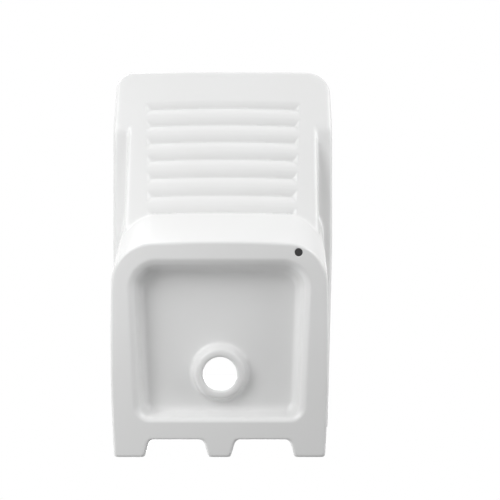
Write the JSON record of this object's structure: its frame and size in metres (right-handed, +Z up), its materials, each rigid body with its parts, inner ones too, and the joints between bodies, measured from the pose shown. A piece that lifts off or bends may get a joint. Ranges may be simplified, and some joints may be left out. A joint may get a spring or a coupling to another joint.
{
  "type": "laundry sink",
  "caption": "White ceramic laundry sink with a sloping built-in washboard, a deep bowl, a bossed waste outlet, a hollow foot and wall pads.",
  "frame": {"origin": "on the foot face, under the middle of the sink's plan", "axes": "+X across the sink, +Y from the user to the wall, +Z up out of the bowl"},
  "size_m": [0.3856, 0.642, 0.23],
  "materials": {
    "glazed_china": "gloss white glaze on vitreous china",
    "bung_rubber": "matt black moulded rubber"
  },
  "bodies": {
    "sink": {"foot_ring": "glazed_china", "bowl": "glazed_china", "washboard": "glazed_china", "rim": "glazed_china", "back_deck": "glazed_china", "back_casing": "glazed_china", "outlet_boss": "glazed_china", "wall_pad_left": "glazed_china", "wall_pad_centre": "glazed_china", "wall_pad_right": "glazed_china"},
    "vent_bung": {"vent_bung": "bung_rubber"}
  },
  "joints": [
    {"name": "vent_bung_pull", "type": "slide", "parent": "sink", "child": "vent_bung", "axis": [0, 0, -1], "range_m": [0, 0.03]}
  ]
}
